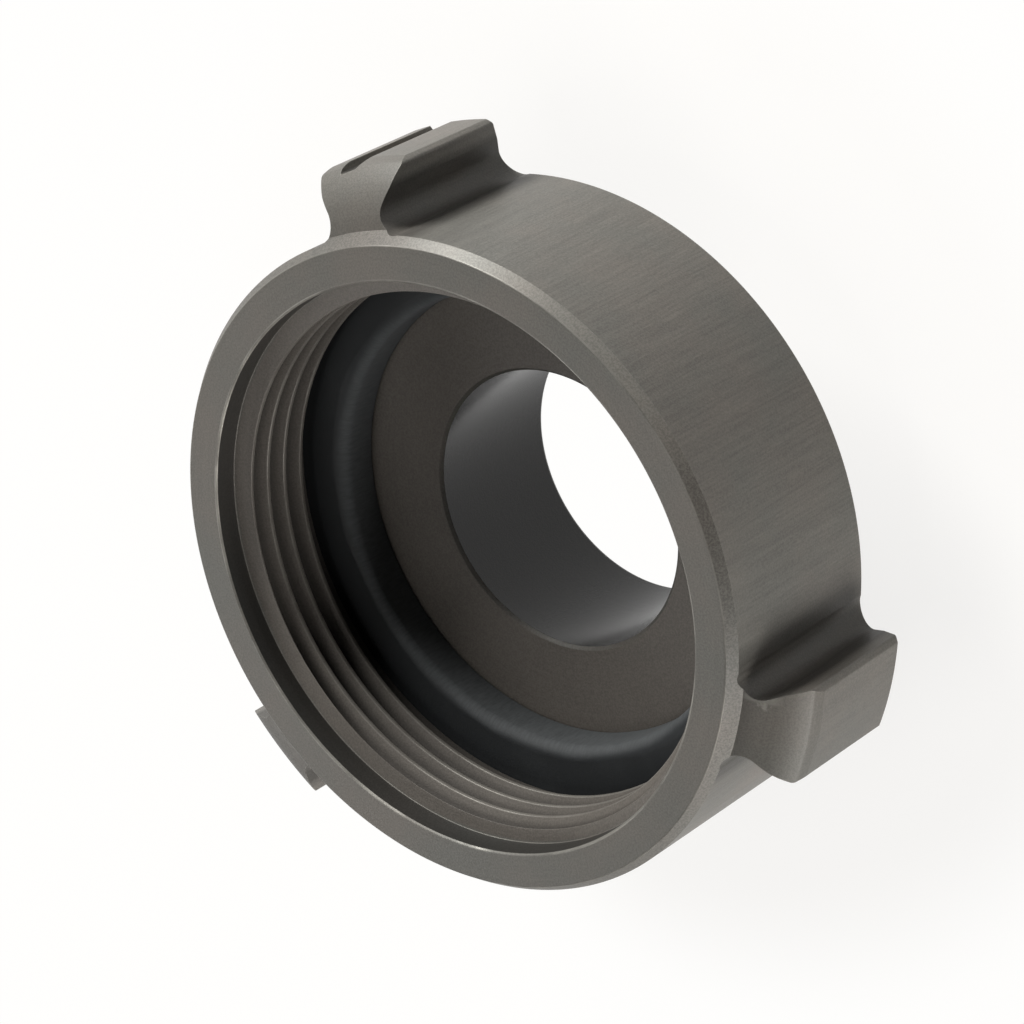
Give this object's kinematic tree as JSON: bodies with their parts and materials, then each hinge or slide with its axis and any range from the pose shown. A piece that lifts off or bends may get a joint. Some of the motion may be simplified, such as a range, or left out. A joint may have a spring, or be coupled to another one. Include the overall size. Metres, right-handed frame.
{
  "type": "fire hose adapter",
  "caption": "Rigid reducing hose adapter: large female thread with rubber gasket and rocker lugs at one end, smaller male thread at the other.",
  "frame": {"origin": "on the waterway's axis, in the end face of the male end", "axes": "+Z along the axis from the male end towards the female mouth, +X through the lug that carries the notch"},
  "size_m": [0.0999, 0.0998, 0.0464],
  "materials": {
    "hard_coated_aluminium": "satin dark grey hard coat",
    "black_rubber": "matte"
  },
  "bodies": {
    "root": {"adapter_body": "hard_coated_aluminium", "gasket": "black_rubber"}
  },
  "joints": []
}
